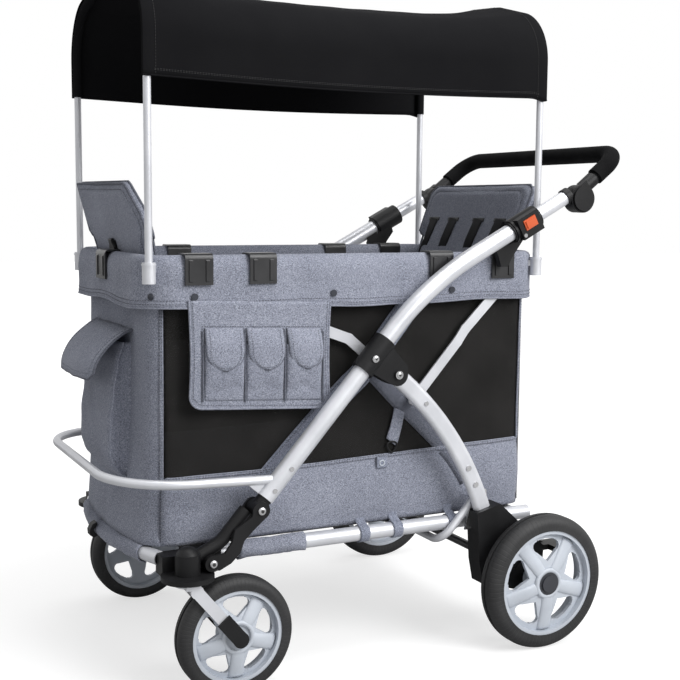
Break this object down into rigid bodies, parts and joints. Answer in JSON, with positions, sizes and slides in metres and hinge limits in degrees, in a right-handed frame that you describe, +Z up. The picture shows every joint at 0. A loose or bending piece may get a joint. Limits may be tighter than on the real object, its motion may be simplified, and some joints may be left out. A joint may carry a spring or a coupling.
{
  "type": "stroller wagon",
  "caption": "Folding stroller wagon with a grey fabric tub, open black canopy on posts, silver crossed side arms, push handle, front casters and larger rear wheels",
  "frame": {"origin": "on the ground, in the middle of the width and of the length", "axes": "+X towards the push handle, +Y to the far side of the picture, +Z up"},
  "size_m": [0.9698, 0.66, 1.1568],
  "materials": {
    "frame_tube": "satin",
    "black_plastic": "matte",
    "grey_cloth": "melange weave",
    "black_cloth": "plain weave",
    "black_mesh": "open mesh",
    "board": "matte",
    "steel": "satin",
    "tyre": "matte rubber",
    "wheel_plastic": "satin",
    "cap_plastic": "satin",
    "orange_plastic": "gloss",
    "foam": "foam",
    "dark_metal": "satin"
  },
  "bodies": {
    "lower_frame": {"side_rails": "frame_tube", "front_cross_tube": "frame_tube", "caster_housings": "black_plastic", "foot_covers": "black_plastic", "floor_board": "board", "tub_sides": "grey_cloth", "tub_mesh": "black_mesh", "tub_ends": "grey_cloth", "cross_strips": "grey_cloth", "rail_sleeves": "grey_cloth", "front_pocket": "grey_cloth", "seat_cushions": "grey_cloth", "frame_bolts": "steel"},
    "push_arms": {"push_arms": "frame_tube", "arm_feet": "black_plastic", "hinge_blocks": "black_plastic", "arm_collars": "black_plastic", "rim_brackets": "black_plastic", "arm_rivets": "steel", "bumper_bar": "frame_tube"},
    "rear_legs": {"rear_legs": "frame_tube", "axle_housings": "black_plastic", "rear_axle": "dark_metal", "cross_bar": "frame_tube", "leg_plates": "steel", "leg_rivets": "steel"},
    "rear_struts": {"rear_struts": "frame_tube"},
    "front_struts": {"front_struts": "frame_tube"},
    "rim": {"rim_frame": "frame_tube", "rim_band": "grey_cloth", "post_sockets": "frame_tube", "rim_clips": "black_plastic", "rim_snaps": "steel", "organizer": "grey_cloth"},
    "canopy": {"canopy_hoops": "frame_tube", "canopy_cloth": "black_cloth"},
    "handle_slide": {"slide_tubes": "frame_tube", "handle_knobs": "black_plastic"},
    "handle": {"handle_bow": "black_plastic", "handle_grip": "foam"},
    "button_near": {"button_near": "orange_plastic"},
    "button_far": {"button_far": "orange_plastic"},
    "caster_near": {"caster_fork_near": "frame_tube", "fork_tips_near": "black_plastic"},
    "caster_far": {"caster_fork_far": "frame_tube", "fork_tips_far": "black_plastic"},
    "front_wheel_near": {"front_tyre_near": "tyre", "front_hub_near": "wheel_plastic"},
    "front_wheel_far": {"front_tyre_far": "tyre", "front_hub_far": "wheel_plastic"},
    "rear_wheel_near": {"rear_tyre_near": "tyre", "rear_hub_near": "wheel_plastic", "rear_caps_near": "cap_plastic"},
    "rear_wheel_far": {"rear_tyre_far": "tyre", "rear_hub_far": "wheel_plastic", "rear_caps_far": "cap_plastic"},
    "seat_back_front": {"seat_back_front": "grey_cloth"},
    "seat_back_rear": {"seat_back_rear": "grey_cloth", "harness_straps": "black_cloth"},
    "brake": {"brake_pedal": "black_plastic"}
  },
  "joints": [
    {"name": "fold", "type": "hinge", "parent": "lower_frame", "child": "push_arms", "pos_m": [-0.252, 0, 0.296], "axis": [0, 1, 0], "range_deg": [0, 30], "deforming": ["front_pocket"]},
    {"name": "leg_fold", "type": "hinge", "parent": "push_arms", "child": "rear_legs", "pos_m": [-0.00375, 0, 0.49963], "axis": [0, -1, 0], "range_deg": [0, 55.5]},
    {"name": "rear_strut_fold", "type": "hinge", "parent": "rear_legs", "child": "rear_struts", "pos_m": [0.05566, 0, 0.44594], "axis": [0, 1, 0], "range_deg": [0, 12.4]},
    {"name": "front_strut_fold", "type": "hinge", "parent": "push_arms", "child": "front_struts", "pos_m": [-0.03296, 0, 0.52547], "axis": [0, -1, 0], "range_deg": [0, 17.2]},
    {"name": "rim_drop", "type": "slide", "parent": "lower_frame", "child": "rim", "axis": [0, 0, -1], "range_m": [0, 0.086]},
    {"name": "canopy_lift", "type": "slide", "parent": "rim", "child": "canopy", "axis": [0, 0, 1], "range_m": [0, 0.06]},
    {"name": "handle_slide", "type": "slide", "parent": "push_arms", "child": "handle_slide", "axis": [0.8829, 0, 0.4695], "range_m": [-0.045, 0.035]},
    {"name": "handle_tilt", "type": "hinge", "parent": "handle_slide", "child": "handle", "pos_m": [0.37101, 0, 0.79519], "axis": [0, 1, 0], "range_deg": [-30, 60]},
    {"name": "button_near_press", "type": "slide", "parent": "push_arms", "child": "button_near", "axis": [0, 1, 0], "range_m": [0, 0.003], "stiffness_N_per_m": 800},
    {"name": "button_far_press", "type": "slide", "parent": "push_arms", "child": "button_far", "axis": [0, -1, 0], "range_m": [0, 0.003], "stiffness_N_per_m": 800},
    {"name": "caster_near_swivel", "type": "hinge", "parent": "lower_frame", "child": "caster_near", "pos_m": [-0.372, -0.258, 0.19], "axis": [0, 0, 1], "continuous": true},
    {"name": "caster_far_swivel", "type": "hinge", "parent": "lower_frame", "child": "caster_far", "pos_m": [-0.372, 0.258, 0.19], "axis": [0, 0, 1], "continuous": true},
    {"name": "front_wheel_near_spin", "type": "hinge", "parent": "caster_near", "child": "front_wheel_near", "pos_m": [-0.295, -0.258, 0.097], "axis": [0, 1, 0], "continuous": true},
    {"name": "front_wheel_far_spin", "type": "hinge", "parent": "caster_far", "child": "front_wheel_far", "pos_m": [-0.295, 0.258, 0.097], "axis": [0, 1, 0], "continuous": true},
    {"name": "rear_wheel_near_spin", "type": "hinge", "parent": "rear_legs", "child": "rear_wheel_near", "pos_m": [0.272, -0.303, 0.12], "axis": [0, 1, 0], "continuous": true},
    {"name": "rear_wheel_far_spin", "type": "hinge", "parent": "rear_legs", "child": "rear_wheel_far", "pos_m": [0.272, 0.303, 0.12], "axis": [0, 1, 0], "continuous": true},
    {"name": "seat_back_front_fold", "type": "hinge", "parent": "rim", "child": "seat_back_front", "pos_m": [-0.37375, 0, 0.65], "axis": [0, 1, 0], "range_deg": [0, 100]},
    {"name": "seat_back_rear_fold", "type": "hinge", "parent": "rim", "child": "seat_back_rear", "pos_m": [0.26051, 0, 0.65], "axis": [0, -1, 0], "range_deg": [0, 100]},
    {"name": "brake_press", "type": "hinge", "parent": "rear_legs", "child": "brake", "pos_m": [0.294, -0.224, 0.154], "axis": [0, 1, 0], "range_deg": [0, 20]}
  ],
  "couplings": [
    {"joint": "leg_fold", "follows": "fold", "ratio": 1.84},
    {"joint": "rear_strut_fold", "follows": "fold", "ratio": 0.41},
    {"joint": "front_strut_fold", "follows": "fold", "ratio": 0.563},
    {"joint": "rim_drop", "follows": "fold", "m_per_rad": 0.1623}
  ]
}
